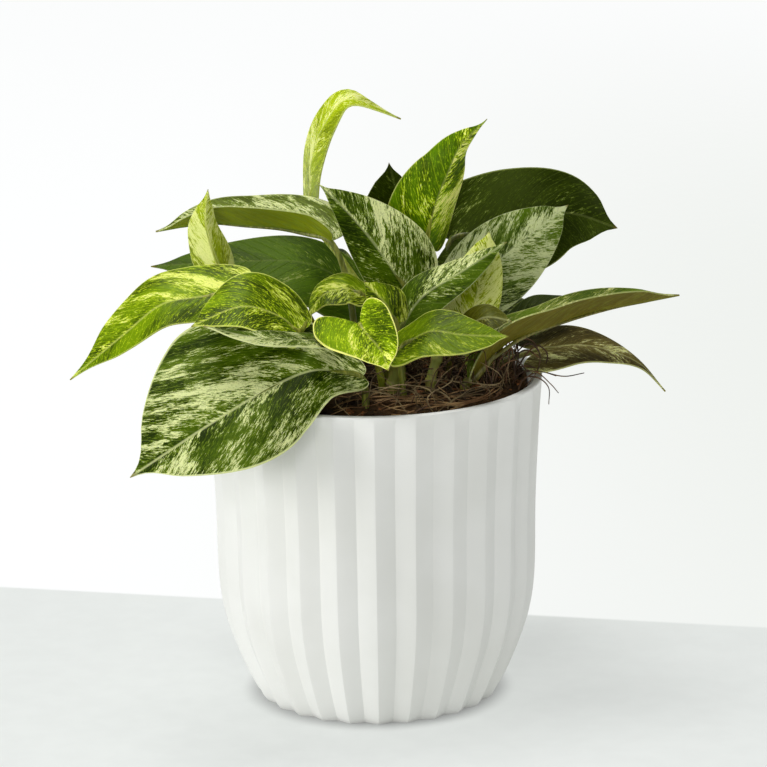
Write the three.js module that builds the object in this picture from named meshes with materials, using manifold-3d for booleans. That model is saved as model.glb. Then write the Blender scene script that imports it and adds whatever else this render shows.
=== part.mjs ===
// A golden pothos: cream-marbled heart-shaped leaves on arching stalks, in soil in a fluted ceramic pot.
// Millimetres, +Z up. The origin is the middle of the pot's underside and the plant's front faces -Y.

import * as THREE from 'three';
import { mergeVertices } from 'three/addons/utils/BufferGeometryUtils.js';
import Module from 'manifold-3d';

const wasm = await Module();
wasm.setup();

// Pot: a tapered cup pleated all round, with a thin plain lip
const POT_HEIGHT = 160;
const POT_OUTLINE = [
  [58.5, 0], [61.2, 5], [64.6, 12], [69.5, 24], [75, 41], [78, 62],
  [78.7, 99], [80.4, 135], [81.3, 149], [81.8, 156], [82, POT_HEIGHT],
];
const POT_FLOOR = 7;
const POT_FLOOR_RADIUS = 55;
const POT_WALL = 4;
const RIB_COUNT = 26;
const RIB_DEPTH = 3;
const RIB_FADE_START = POT_HEIGHT - 5;
const RIB_FADE_END = POT_HEIGHT - 1;
const CORNERS_PER_RIB = 2;
const LIP_ROUNDING = 0.8;

// Soil: fills the pot, low along the front rim, heaped towards the middle and the right
const SOIL_GAP = 0.4;
const SOIL_EDGE = 155;
const SOIL_SHOULDER = 151;
const SOIL_RISE = 5;
const SOIL_RIGHT_RISE = 3;
const SOIL_SECTORS = 36;
const SOIL_RINGS = [0.88, 0.72, 0.55, 0.37, 0.18];
const SOIL_LUMP = 1.6;
const ROOT_COUNT = 9;
const ROOT_RADIUS = 0.9;
const ROOT_SIDES = 5;
const ROOT_STEPS = 6;

// Stalks: each stands in a plain hole in the soil and thins towards its leaf
const FOOT_BOTTOM = 147;
const FOOT_MIDDLE = 155;
const FOOT_TOP = 163;
const STALK_RADIUS = 2;
const STALK_TIP_RADIUS = 1.25;
const STALK_SIDES = 5;
const STALK_STEPS = 8;
const STALK_REACH = 0.12;
const STALK_DROP = 0.5;
const HOLE_CLEARANCE = 0.5;
const HOLE_SIDES = 8;
const HOLE_HEIGHT = 40;

// Blades
const RIB_THICKNESS = 0.95;
const MARGIN_THICKNESS = 0.65;
const MARGIN_WAVE = 0.05;
const WAVES_ALONG = 1.7;
const LARGE_LEAF_LENGTH = 60;
const LARGE_GRID = [9, 6];
const SMALL_GRID = [8, 4];
const ROW_CROWDING = 1.6;

const TONES = {
  pale: 0xb9c468,
  bright: 0x86a235,
  marbled: 0x5f7a3c,
  dark: 0x27401c,
  olive: 0x5e6328,
};

// Each leaf: foot of its stalk on the soil, points the stalk passes, midrib from base to tip, and the
// widest points of both margins as seen from the base towards the tip with the upper face up. curl bends
// each half further, in degrees. rise and fall shape the outline before and after its widest place, and
// lobe is how far the two base lobes reach back, as a share of the length. thick is the stalk's radius.
const LEAVES = [
  {
    name: 'leaf_hook',
    tone: 'pale',
    foot: [4, 27],
    stalk: [[1, 29, 184], [-13, 34, 207]],
    rib: [[-30, 42, 230], [-29, 36, 259], [-21, 30, 280], [-9, 26, 291], [15, 20, 282]],
    right: [-23, 24, 262],
    left: [-35, 50, 253],
    curl: 20,
    lobe: 0.1,
  },
  {
    name: 'leaf_flag',
    tone: 'bright',
    foot: [20, 26],
    stalk: [[26, 27, 198]],
    rib: [[27, 26, 221], [32, 22, 241], [38, 20, 256], [44, 22, 268], [57, 28, 280]],
    right: [43, 38, 240],
    left: [9, 26, 242],
    curl: -20,
    fall: 1.5,
  },
  {
    name: 'leaf_shade_mid',
    tone: 'dark',
    foot: [10, 48],
    rib: [[20, 60, 201], [15, 58, 227], [9, 54, 254]],
    right: [26, 62, 226],
    left: [-10, 58, 227],
  },
  {
    name: 'leaf_dark_right',
    tone: 'dark',
    foot: [34, 38],
    stalk: [[37, 42, 192]],
    rib: [[39, 46, 216], [71, 48, 224], [97, 50, 228], [122, 54, 219]],
    right: [65, 38, 196],
    left: [68, 58, 250],
    lobe: 0.22,
    fall: 0.9,
  },
  {
    name: 'leaf_grey_right',
    tone: 'marbled',
    foot: [38, 14],
    rib: [[47, 16, 199], [68, 18, 217], [84, 20, 229], [96, 22, 238]],
    right: [78, 12, 199],
    left: [52, 26, 227],
  },
  {
    name: 'leaf_cream_young',
    tone: 'pale',
    foot: [46, -2],
    rib: [[47, 4, 185], [53, 4, 208], [57, 6, 229]],
    right: [65, 8, 205],
    left: [36, 6, 200],
    curl: -20,
  },
  {
    name: 'leaf_folded_mid',
    tone: 'marbled',
    foot: [12, -22],
    rib: [[11, -22, 183], [23, -20, 202], [42, -14, 213], [65, -6, 226]],
    right: [35, -24, 199],
    left: [25, -4, 213],
  },
  {
    name: 'leaf_centre_dark',
    tone: 'marbled',
    foot: [6, 8],
    rib: [[17, 10, 198], [6, 5, 217], [-9, 1, 238], [-26, -6, 257]],
    right: [28, 16, 223],
    left: [-7, 6, 210],
    lobe: 0.12,
    fall: 1.4,
  },
  {
    name: 'leaf_top_left',
    tone: 'marbled',
    foot: [-8, 4],
    stalk: [[-12, 4, 204]],
    rib: [[-20, 2, 226], [-30, 8, 229], [-44, 12, 231], [-60, 14, 232], [-80, 16, 233], [-105, 16, 229]],
    right: [-50, 34, 244],
    left: [-48, -2, 244],
    lobe: 0.08,
  },
  {
    name: 'leaf_shade_left',
    tone: 'dark',
    foot: [-10, 48],
    rib: [[-3, 52, 187], [-31, 54, 203], [-66, 54, 205], [-110, 50, 204]],
    right: [-37, 70, 214],
    left: [-36, 34, 187],
  },
  {
    name: 'leaf_spike_left',
    tone: 'pale',
    foot: [-28, 2],
    stalk: [[-42, 4, 182]],
    rib: [[-68, -3, 204], [-75, -7, 222], [-79, -9, 239], [-78, -5, 254]],
    right: [-68, 3, 220],
    left: [-89, 5, 223],
    lobe: 0,
  },
  {
    name: 'leaf_drooping_left',
    tone: 'bright',
    foot: [-30, -16],
    stalk: [[-42, -22, 190]],
    rib: [[-68, -26, 207], [-85, -28, 206], [-101, -30, 203], [-118, -32, 190], [-145, -34, 168]],
    right: [-95, -11, 217],
    left: [-93, -40, 196],
    fall: 1.1,
  },
  {
    name: 'leaf_heart_left',
    tone: 'bright',
    foot: [-24, -24],
    stalk: [[-30, -34, 197]],
    rib: [[-35, -54, 195], [-45, -54, 203], [-62, -57, 208], [-85, -62, 200]],
    right: [-54, -34, 219],
    left: [-56, -69, 199],
    lobe: 0.12,
  },
  {
    name: 'leaf_striped_small',
    tone: 'bright',
    foot: [-8, -18],
    rib: [[-5, -22, 205], [-13, -22, 208], [-24, -24, 205], [-31, -26, 195]],
    right: [-19, -10, 212],
    left: [-15, -30, 202],
  },
  {
    name: 'leaf_front_heart',
    tone: 'bright',
    foot: [4, -34],
    stalk: [[-1, -44, 187]],
    rib: [[-6, -58, 199], [-2, -69, 196], [4, -80, 191], [7, -88, 184]],
    right: [-25, -76, 196],
    left: [5, -60, 210],
    lobe: 0.35,
  },
  {
    name: 'leaf_curled_mid',
    tone: 'bright',
    foot: [6, -24],
    rib: [[11, -30, 193], [6, -32, 203], [-4, -30, 213]],
    right: [14, -22, 206],
    left: [-1, -34, 198],
  },
  {
    name: 'leaf_green_bit',
    tone: 'bright',
    foot: [14, -8],
    rib: [[10, -4, 190], [17, -2, 196], [25, 0, 202]],
    right: [20, -8, 194],
    left: [11, 2, 200],
  },
  {
    name: 'leaf_rim_left',
    tone: 'marbled',
    foot: [-12, -28],
    stalk: [[-13, -34, 191]],
    rib: [[-20, -52, 190], [-38, -78, 197], [-59, -86, 201], [-78, -86, 206]],
    right: [-38, -68, 198],
    left: [-37, -94, 197],
    lobe: 0.06,
  },
  {
    name: 'leaf_big_front',
    tone: 'marbled',
    foot: [-4, -54],
    rib: [[-6, -56, 173], [-27, -62, 178], [-47, -68, 172], [-74, -80, 159], [-114, -90, 135]],
    right: [-89, -46, 194],
    left: [-47, -98, 146],
    lobe: 0.1,
    rise: 1.3,
    fall: 1.3,
  },
  {
    name: 'leaf_front_right',
    tone: 'bright',
    foot: [14, -44],
    rib: [[14, -46, 185], [27, -50, 193], [43, -54, 192], [64, -54, 191]],
    right: [31, -64, 185],
    left: [30, -38, 201],
  },
  {
    name: 'leaf_round_right',
    tone: 'olive',
    foot: [36, -16],
    rib: [[41, -28, 186], [53, -32, 195], [66, -36, 194]],
    right: [55, -44, 188],
    left: [53, -22, 201],
  },
  {
    name: 'leaf_long_right',
    tone: 'olive',
    foot: [44, -30],
    rib: [[46, -30, 163], [55, -28, 174], [66, -25, 182], [84, -21, 187], [104, -16, 193], [148, -8, 199]],
    right: [82, -34, 198],
    left: [96, 3, 199],
    lobe: 0,
    rise: 0.6,
    fall: 0.8,
    thick: 3.2,
  },
  {
    name: 'leaf_dark_wedge',
    tone: 'dark',
    foot: [50, 8],
    rib: [[68, 14, 179], [82, 18, 188], [98, 22, 192]],
    right: [89, 10, 185],
    left: [85, 32, 196],
  },
  {
    name: 'leaf_low_right',
    tone: 'olive',
    foot: [57, -5],
    rib: [[80, 2, 170], [98, 4, 172], [115, 4, 169], [130, 2, 162], [142, 0, 149]],
    right: [93, -14, 166],
    left: [95, 22, 177],
    fall: 1.6,
  },
  {
    name: 'leaf_back_left',
    tone: 'dark',
    foot: [-20, 56],
    rib: [[-18, 60, 190], [-32, 98, 202], [-50, 138, 170]],
    right: [-20, 112, 204],
    left: [-52, 88, 192],
    lobe: 0.1,
  },
  {
    name: 'leaf_back_right',
    tone: 'marbled',
    foot: [32, 60],
    rib: [[34, 62, 178], [42, 98, 182], [52, 140, 150]],
    right: [62, 90, 174],
    left: [22, 108, 184],
    lobe: 0.1,
  },
  {
    name: 'leaf_back_mid',
    tone: 'dark',
    foot: [0, 70],
    rib: [[-2, 78, 172], [0, 108, 176], [4, 150, 136]],
    right: [20, 108, 170],
    left: [-22, 106, 172],
    lobe: 0.1,
  },
  {
    name: 'leaf_back_low_left',
    tone: 'marbled',
    foot: [-36, 40],
    rib: [[-38, 46, 173], [-64, 82, 175], [-90, 102, 150]],
    right: [-52, 96, 175],
    left: [-79, 66, 170],
    lobe: 0.1,
  },
  {
    name: 'leaf_back_low_right',
    tone: 'dark',
    foot: [52, 38],
    rib: [[54, 46, 178], [76, 78, 178], [88, 110, 156]],
    right: [92, 66, 168],
    left: [58, 92, 180],
  },
];

// Vine stems: short thick canes with raised rings where leaves once stood
const VINES = [
  { name: 'vine_front', foot: [9, -36], path: [[10, -37, 172], [7, -39, 181]], radius: 2.7 },
  { name: 'vine_right', foot: [27, -35], path: [[29, -34, 172], [33, -33, 182]], radius: 2.3 },
  { name: 'vine_left', foot: [-14, -8], path: [[-17, -10, 172], [-24, -12, 186]], radius: 2.4 },
  { name: 'vine_back', foot: [16, 34], path: [[15, 36, 175], [20, 40, 192]], radius: 2.5 },
];
const VINE_SIDES = 7;
const VINE_STEPS = 10;
const VINE_RING_PLACES = [0.5, 0.8];
const VINE_RING_SWELL = 0.3;
const VINE_RING_LENGTH = 0.04;

const POT_MATERIAL = new THREE.MeshStandardMaterial({ color: 0xeeecea, roughness: 0.5, metalness: 0 });
const SOIL_MATERIAL = new THREE.MeshStandardMaterial({ color: 0x3a2618, roughness: 0.95, metalness: 0 });
const VINE_MATERIAL = new THREE.MeshStandardMaterial({ color: 0x8c9248, roughness: 0.55, metalness: 0 });

const vector = (point) => new THREE.Vector3(...point);
const toRadians = THREE.MathUtils.degToRad;

// Seeded random numbers, so that every build is the same
function randomSource(seed) {
  let state = seed;
  return () => {
    state = (state * 1664525 + 1013904223) % 4294967296;
    return state / 4294967296;
  };
}

// Vertices that coincide become one, and triangles that this closes up go
function welded(geometry) {
  geometry.deleteAttribute('normal');
  geometry.deleteAttribute('uv');
  const merged = mergeVertices(geometry, 1e-4);
  const corners = merged.index.array;
  const kept = [];
  for (let i = 0; i < corners.length; i += 3) {
    const [a, b, c] = [corners[i], corners[i + 1], corners[i + 2]];
    if (a !== b && b !== c && c !== a) {
      kept.push(a, b, c);
    }
  }
  merged.setIndex(kept);
  return merged;
}

function toSolid(geometry) {
  return new wasm.Manifold(new wasm.Mesh({
    numProp: 3,
    vertProperties: new Float32Array(geometry.attributes.position.array),
    triVerts: new Uint32Array(geometry.index.array),
  }));
}

function toGeometry(solid) {
  const mesh = solid.getMesh();
  const geometry = new THREE.BufferGeometry();
  geometry.setAttribute('position', new THREE.BufferAttribute(mesh.vertProperties, 3));
  geometry.setIndex(new THREE.BufferAttribute(mesh.triVerts, 1));
  return geometry;
}

function smoothCurve(points) {
  return new THREE.CatmullRomCurve3(points.map(vector), false, 'catmullrom', 0.5);
}

// What stands in the soil starts upright, then turns to its path without swinging out
function standingCurve([x, y], path) {
  const points = [[x, y, FOOT_BOTTOM], [x, y, FOOT_MIDDLE], [x, y, FOOT_TOP], ...path];
  return new THREE.CatmullRomCurve3(points.map(vector), false, 'centripetal');
}

// A closed round bar along a curve: a cylinder whose rings move to the curve's frames
function barGeometry(curve, radiusAt, sides, steps) {
  const bar = new THREE.CylinderGeometry(1, 1, 1, sides, steps);
  const frames = curve.computeFrenetFrames(steps, false);
  const corners = bar.attributes.position;
  for (let i = 0; i < corners.count; i += 1) {
    const along = corners.getY(i) + 0.5;
    const step = Math.round(along * steps);
    const place = curve.getPointAt(along);
    place.addScaledVector(frames.normals[step], corners.getX(i) * radiusAt(along));
    place.addScaledVector(frames.binormals[step], -corners.getZ(i) * radiusAt(along));
    corners.setXYZ(i, place.x, place.y, place.z);
  }
  return welded(bar);
}

function ribShare(height) {
  return 1 - THREE.MathUtils.smoothstep(height, RIB_FADE_START, RIB_FADE_END);
}

// The pot's inside stays one wall behind the valleys, with half as many rows as the outside
function potInside() {
  return POT_OUTLINE
    .filter(([, height], row) => row % 2 === 1 && height > POT_FLOOR)
    .map(([radius, height]) => new THREE.Vector2(radius - POT_WALL - RIB_DEPTH * ribShare(height), height));
}

function potGeometry() {
  const outside = POT_OUTLINE.map(([radius, height]) => new THREE.Vector2(radius, height));
  const lip = outside.pop();
  const profile = [
    new THREE.Vector2(0, 0),
    ...outside,
    new THREE.Vector2(lip.x, lip.y - LIP_ROUNDING),
    new THREE.Vector2(lip.x - LIP_ROUNDING, lip.y),
    new THREE.Vector2(lip.x - POT_WALL + LIP_ROUNDING, lip.y),
    ...potInside().reverse(),
    new THREE.Vector2(POT_FLOOR_RADIUS, POT_FLOOR),
    new THREE.Vector2(0, POT_FLOOR),
  ];
  const segments = RIB_COUNT * CORNERS_PER_RIB;
  const lathe = new THREE.LatheGeometry(profile, segments);
  const places = lathe.attributes.position;
  for (let i = 0; i < places.count; i += 1) {
    const row = i % profile.length;
    const column = Math.floor(i / profile.length);
    const inValley = column % CORNERS_PER_RIB === 1;
    if (inValley && row >= 1 && row <= outside.length) {
      const radius = profile[row].x;
      const pulled = (radius - RIB_DEPTH * ribShare(profile[row].y)) / radius;
      places.setX(i, places.getX(i) * pulled);
      places.setZ(i, places.getZ(i) * pulled);
    }
  }
  lathe.rotateX(Math.PI / 2);
  return welded(lathe);
}

function soilHeight(x, y, radius) {
  const share = Math.min(1, Math.hypot(x, y) / radius);
  return SOIL_EDGE + SOIL_RISE * (1 - share ** 3) + SOIL_RIGHT_RISE * (x / radius);
}

function soilBody() {
  const wall = potInside().filter((point) => point.y < SOIL_SHOULDER);
  const above = potInside().find((point) => point.y >= SOIL_SHOULDER);
  const below = wall[wall.length - 1];
  const rise = (SOIL_SHOULDER - below.y) / (above.y - below.y);
  const edge = new THREE.Vector2(THREE.MathUtils.lerp(below.x, above.x, rise) - SOIL_GAP, SOIL_EDGE);
  const profile = [
    new THREE.Vector2(0, POT_FLOOR + SOIL_GAP),
    new THREE.Vector2(POT_FLOOR_RADIUS - SOIL_GAP, POT_FLOOR + SOIL_GAP),
    ...wall.map((point) => new THREE.Vector2(point.x - SOIL_GAP, point.y)),
    edge,
    ...SOIL_RINGS.map((share) => new THREE.Vector2(edge.x * share, SOIL_EDGE)),
    new THREE.Vector2(0, SOIL_EDGE),
  ];
  const lathe = new THREE.LatheGeometry(profile, SOIL_SECTORS);
  lathe.rotateX(Math.PI / 2);
  const body = welded(lathe);
  const places = body.attributes.position;
  const random = randomSource(11);
  for (let i = 0; i < places.count; i += 1) {
    if (places.getZ(i) > SOIL_EDGE - 1) {
      const [x, y] = [places.getX(i), places.getY(i)];
      const lump = SOIL_LUMP * (random() - 0.5);
      places.setZ(i, soilHeight(x, y, edge.x) + lump);
    }
  }
  return { solid: toSolid(body), radius: edge.x };
}

// Wiry surface roots: shallow arcs, each end sunk well into the soil
function rootSolids(radius) {
  const random = randomSource(5);
  const roots = [];
  for (let i = 0; i < ROOT_COUNT; i += 1) {
    const heading = 2 * Math.PI * (i / ROOT_COUNT) + random();
    const start = radius * (0.5 + 0.35 * random());
    const sweep = 0.5 + 0.6 * random();
    const points = [];
    for (const [share, lift] of [[0, -4], [0.3, 0.6], [0.65, 0.8], [1, -4]]) {
      const angle = heading + sweep * share;
      const reach = start * (1 + 0.12 * Math.sin(3 * share + i));
      const [x, y] = [reach * Math.cos(angle), reach * Math.sin(angle)];
      points.push([x, y, soilHeight(x, y, radius) + lift]);
    }
    roots.push(toSolid(barGeometry(smoothCurve(points), () => ROOT_RADIUS, ROOT_SIDES, ROOT_STEPS)));
  }
  return roots;
}

// A plain upright hole that also clears the roots above the soil around a stalk
function holeSolid([x, y], radius) {
  const hole = new THREE.CylinderGeometry(radius, radius, HOLE_HEIGHT, HOLE_SIDES);
  hole.rotateX(Math.PI / 2);
  hole.translate(x, y, FOOT_BOTTOM - HOLE_CLEARANCE + HOLE_HEIGHT / 2);
  return toSolid(welded(hole));
}

function soilGeometry() {
  const { solid, radius } = soilBody();
  let soil = solid;
  for (const root of rootSolids(radius)) {
    soil = soil.add(root);
  }
  for (const leaf of LEAVES) {
    soil = soil.subtract(holeSolid(leaf.foot, (leaf.thick ?? STALK_RADIUS) + HOLE_CLEARANCE));
  }
  for (const vine of VINES) {
    soil = soil.subtract(holeSolid(vine.foot, vine.radius * (1 + VINE_RING_SWELL) + HOLE_CLEARANCE));
  }
  const pieces = soil.decompose().sort((a, b) => b.volume() - a.volume());
  return toGeometry(pieces[0]);
}

// Half width of a blade along its length, as a share of the widest: 0 at the base and the tip
function widthShare(along, rise, fall) {
  if (along <= 0 || along >= 1) {
    return 0;
  }
  const widest = rise / (rise + fall);
  return (along / widest) ** rise * ((1 - along) / (1 - widest)) ** fall;
}

function across(direction, tangent) {
  return direction.clone().addScaledVector(tangent, -direction.dot(tangent));
}

// A blade's surface. along runs from base to tip and side from the left margin (-1) to the right (1).
// Each half leaves the midrib at the angle that its margin's widest point sets, bends on by curl, and
// is waved along its margin.
function bladeSurface(leaf, number) {
  const { rise = 0.5, fall = 1, lobe = 0.2 } = leaf;
  const rib = smoothCurve(leaf.rib);
  const length = rib.getLength();
  const widest = rise / (rise + fall);
  const centre = rib.getPointAt(widest);
  const tangent = rib.getTangentAt(widest);
  const toRight = across(vector(leaf.right).sub(centre), tangent);
  const toLeft = across(vector(leaf.left).sub(centre), tangent);
  const span = toRight.clone().sub(toLeft);
  const sideways = span.clone().normalize();
  const up = new THREE.Vector3().crossVectors(sideways, tangent);
  const rightTilt = Math.atan2(toRight.dot(up), toRight.dot(sideways));
  const leftTilt = Math.atan2(toLeft.dot(up), -toLeft.dot(sideways));
  const curl = toRadians(leaf.curl ?? 0);

  return (along, side) => {
    const backward = lobe * widthShare(along, rise, 9 * rise) * Math.abs(side) ** 1.6;
    const share = along - backward;
    const onRib = Math.max(0, share);
    const tangentHere = rib.getTangentAt(onRib);
    const sidewaysHere = across(span, tangentHere).normalize();
    const upHere = new THREE.Vector3().crossVectors(sidewaysHere, tangentHere);
    const sign = side < 0 ? -1 : 1;
    const halfWidth = (side < 0 ? toLeft : toRight).length() * widthShare(along, rise, fall);
    const out = Math.abs(side) * halfWidth;
    const tiltAtRib = (side < 0 ? leftTilt : rightTilt) - curl / 2;
    const tilt = tiltAtRib + curl * Math.abs(side);
    const meanTilt = (tiltAtRib + tilt) / 2;
    const wave = Math.sin(2 * Math.PI * (WAVES_ALONG * along + 0.37 * number) + (side < 0 ? 1.3 : 0));
    const lift = MARGIN_WAVE * halfWidth * side * side * wave;

    const normal = upHere.clone().multiplyScalar(Math.cos(tilt));
    normal.addScaledVector(sidewaysHere, -sign * Math.sin(tilt));
    const place = rib.getPointAt(onRib);
    place.addScaledVector(tangentHere, Math.min(0, share) * length);
    place.addScaledVector(sidewaysHere, sign * out * Math.cos(meanTilt));
    place.addScaledVector(upHere, out * Math.sin(meanTilt));
    place.addScaledVector(normal, lift);
    return { place, normal, length };
  };
}

// A blade is one plane grid laid on the surface twice, half a thickness up and down, so that both faces
// are split into triangles alike, with a band of triangles around the margin
function bladeGeometry(surface, rows, columns) {
  const grid = new THREE.PlaneGeometry(2, 1, columns, rows);
  const corners = grid.attributes.position;
  const upper = [];
  const lower = [];
  for (let i = 0; i < corners.count; i += 1) {
    const along = (0.5 - corners.getY(i)) ** ROW_CROWDING;
    const side = corners.getX(i);
    const { place, normal } = surface(along, side);
    const isEnd = along === 0 || along === 1;
    const fromRib = isEnd ? 0 : Math.abs(side);
    const thickness = THREE.MathUtils.lerp(RIB_THICKNESS, MARGIN_THICKNESS, fromRib);
    const facing = isEnd ? surface(along, 0).normal : normal;
    upper.push(place.clone().addScaledVector(facing, thickness / 2));
    lower.push(place.clone().addScaledVector(facing, -thickness / 2));
  }
  const count = corners.count;
  const faces = [];
  for (let i = 0; i < grid.index.count; i += 3) {
    const [a, b, c] = [grid.index.getX(i), grid.index.getX(i + 1), grid.index.getX(i + 2)];
    faces.push(a, c, b, a + count, b + count, c + count);
  }
  const edge = [];
  for (let row = 0; row < rows; row += 1) {
    edge.push(row * (columns + 1));
  }
  for (let column = 0; column < columns; column += 1) {
    edge.push(rows * (columns + 1) + column);
  }
  for (let row = rows; row > 0; row -= 1) {
    edge.push(row * (columns + 1) + columns);
  }
  for (let column = columns; column > 0; column -= 1) {
    edge.push(column);
  }
  edge.forEach((a, i) => {
    const b = edge[(i + 1) % edge.length];
    faces.push(a, b + count, a + count, a, b, b + count);
  });
  const blade = new THREE.BufferGeometry().setFromPoints([...upper, ...lower]);
  blade.setIndex(faces);
  return welded(blade);
}

function stalkGeometry(leaf, surface) {
  const reach = surface(STALK_REACH, 0);
  const end = reach.place.addScaledVector(reach.normal, -STALK_DROP);
  const curve = standingCurve(leaf.foot, [...(leaf.stalk ?? []), leaf.rib[0], end.toArray()]);
  const radius = leaf.thick ?? STALK_RADIUS;
  const radiusAt = (along) => THREE.MathUtils.lerp(radius, STALK_TIP_RADIUS, along);
  return barGeometry(curve, radiusAt, STALK_SIDES, STALK_STEPS);
}

function leafGeometry(leaf, number) {
  const surface = bladeSurface(leaf, number);
  const isLarge = surface(0, 0).length > LARGE_LEAF_LENGTH;
  const [rows, columns] = isLarge ? LARGE_GRID : SMALL_GRID;
  const blade = bladeGeometry(surface, rows, columns);
  return toGeometry(toSolid(blade).add(toSolid(stalkGeometry(leaf, surface))));
}

function vineGeometry(vine) {
  const curve = standingCurve(vine.foot, vine.path);
  const radiusAt = (along) => {
    const swells = VINE_RING_PLACES.map((place) => Math.exp(-(((along - place) / VINE_RING_LENGTH) ** 2)));
    return vine.radius * (1 + VINE_RING_SWELL * Math.max(...swells));
  };
  return barGeometry(curve, radiusAt, VINE_SIDES, VINE_STEPS);
}

function named(name, geometry, material) {
  const mesh = new THREE.Mesh(geometry, material);
  mesh.name = name;
  return mesh;
}

const plant = new THREE.Group();
plant.add(named('pot', potGeometry(), POT_MATERIAL));
plant.add(named('soil', soilGeometry(), SOIL_MATERIAL));
for (const vine of VINES) {
  plant.add(named(vine.name, vineGeometry(vine), VINE_MATERIAL));
}
LEAVES.forEach((leaf, number) => {
  const finish = new THREE.MeshStandardMaterial({ color: TONES[leaf.tone], roughness: 0.4, metalness: 0 });
  plant.add(named(leaf.name, leafGeometry(leaf, number), finish));
});

export default plant;
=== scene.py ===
"""A cream-marbled pothos in a fluted white pot, dressed over its solid model.

Metres, +Z up. The plant's front faces -Y and the origin is the middle of the pot's underside.
"""

import math
import random

import bpy
from mathutils import Matrix, Vector, noise


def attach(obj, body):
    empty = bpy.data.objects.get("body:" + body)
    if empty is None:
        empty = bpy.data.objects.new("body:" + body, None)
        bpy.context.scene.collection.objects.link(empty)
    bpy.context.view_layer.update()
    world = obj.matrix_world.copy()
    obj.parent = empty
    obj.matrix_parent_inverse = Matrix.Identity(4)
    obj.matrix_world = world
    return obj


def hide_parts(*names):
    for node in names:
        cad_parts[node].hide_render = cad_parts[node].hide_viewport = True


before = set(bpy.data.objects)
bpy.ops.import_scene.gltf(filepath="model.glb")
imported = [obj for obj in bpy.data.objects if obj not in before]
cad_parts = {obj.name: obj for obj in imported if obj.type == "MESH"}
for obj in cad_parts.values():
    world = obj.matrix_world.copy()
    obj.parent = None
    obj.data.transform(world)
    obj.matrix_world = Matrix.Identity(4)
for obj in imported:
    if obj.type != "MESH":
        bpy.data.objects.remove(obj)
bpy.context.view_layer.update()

MM = 0.001
TURN = 2 * math.pi


# -------- finishes

def paint(red, green, blue):
    """A display colour, 0 to 255, as the linear colour that shaders take."""
    return tuple(
        part / 12.92 if part <= 0.04045 else ((part + 0.055) / 1.055) ** 2.4
        for part in (red / 255, green / 255, blue / 255)
    ) + (1.0,)


def operator(operation, swapped=False):
    """An operator on a Value: it adds a Math node. swapped is for a Value on the right."""
    def apply(value, other=0.0):
        first, second = (other, value) if swapped else (value, other)
        return value.finish.node("Math", {"operation": operation}, {0: first, 1: second})

    return apply


class Value:
    """A number or colour that varies over a surface."""

    def __init__(self, finish, socket):
        self.finish = finish
        self.socket = socket

    __add__ = __radd__ = operator("ADD")
    __sub__ = operator("SUBTRACT")
    __rsub__ = operator("SUBTRACT", swapped=True)
    __mul__ = __rmul__ = operator("MULTIPLY")
    __pow__ = operator("POWER")
    __abs__ = operator("ABSOLUTE")
    __mod__ = operator("FLOORED_MODULO")
    __gt__ = operator("GREATER_THAN")

    def rise(self, low, high):
        """0 below low, 1 above high and a smooth step between."""
        return self.finish.node(
            "MapRange", {"interpolation_type": "SMOOTHSTEP"}, {0: self, 1: low, 2: high}
        )

    def parts(self):
        """The x, y and z of a place."""
        made = self.finish.node("SeparateXYZ", {}, {0: self})
        return [Value(self.finish, out) for out in made.socket.node.outputs]


class Finish:
    """A surface finish: a Principled shader and the nodes that feed it."""

    def __init__(self, name, **constants):
        self.material = bpy.data.materials.new(name)
        self.material.use_nodes = True
        self.tree = self.material.node_tree
        self.shader = self.tree.nodes["Principled BSDF"]
        for key, value in constants.items():
            self.shader.inputs[self.socket_name(key)].default_value = value

    @staticmethod
    def socket_name(key):
        return key.replace("_", " ").title().replace("Ior", "IOR")

    def node(self, kind, settings, inputs, output=0):
        made = self.tree.nodes.new("ShaderNode" + kind)
        for key, value in settings.items():
            setattr(made, key, value)
        for key, value in inputs.items():
            self.feed(made.inputs[key], value)
        return Value(self, made.outputs[output])

    def feed(self, socket, value):
        if isinstance(value, Value):
            self.tree.links.new(value.socket, socket)
        else:
            socket.default_value = value

    def blend(self, share, first, second):
        """first where share is 0, second where it is 1."""
        return self.node("Mix", {"data_type": "RGBA"}, {0: share, 6: first, 7: second}, 2)

    def where(self):
        """The place on the piece, in metres."""
        return self.node("TexCoord", {}, {}, "Object")

    def map(self, name):
        """The place on one of the piece's flat maps."""
        return self.node("UVMap", {"uv_map": name}, {})

    def vector(self, x, y, z):
        return self.node("CombineXYZ", {}, {0: x, 1: y, 2: z})

    def grain(self, place, scale, detail=2.0, roughness=0.5, distortion=0.0):
        """Cloudy unevenness about 0.5, finer as scale and detail rise."""
        return self.node("TexNoise", {}, {
            "Vector": place, "Scale": scale, "Detail": detail,
            "Roughness": roughness, "Distortion": distortion,
        })

    def stretch(self, place, *scale):
        return self.node("Mapping", {}, {"Vector": place, "Scale": scale})

    def relief(self, height, strength, distance):
        """Fine relief under the light, at most distance deep."""
        return self.node("Bump", {}, {
            "Strength": strength, "Distance": distance, "Height": height,
        })

    def set(self, colour, **feeds):
        """Feeds the shader and gives the finished material."""
        for key, value in {"base_color": colour, **feeds}.items():
            self.feed(self.shader.inputs[self.socket_name(key)], value)
        return self.material


def glazed_pot():
    """White glaze: nearly even, faintly warmer in clouds, with a fine dimpling and a satin sheen."""
    finish = Finish("white_glaze", specular_ior_level=0.5)
    place = finish.where()
    clouds = finish.grain(place, 18.0, 3.0)
    fine = finish.grain(place, 420.0, 2.0)
    colour = finish.blend(clouds.rise(0.35, 0.7), paint(236, 236, 232), paint(229, 229, 224))
    return finish.set(colour, roughness=0.36 + clouds * 0.12 + fine * 0.08,
                      normal=finish.relief(fine + clouds * 2.0, 0.1, 0.0003))


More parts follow.
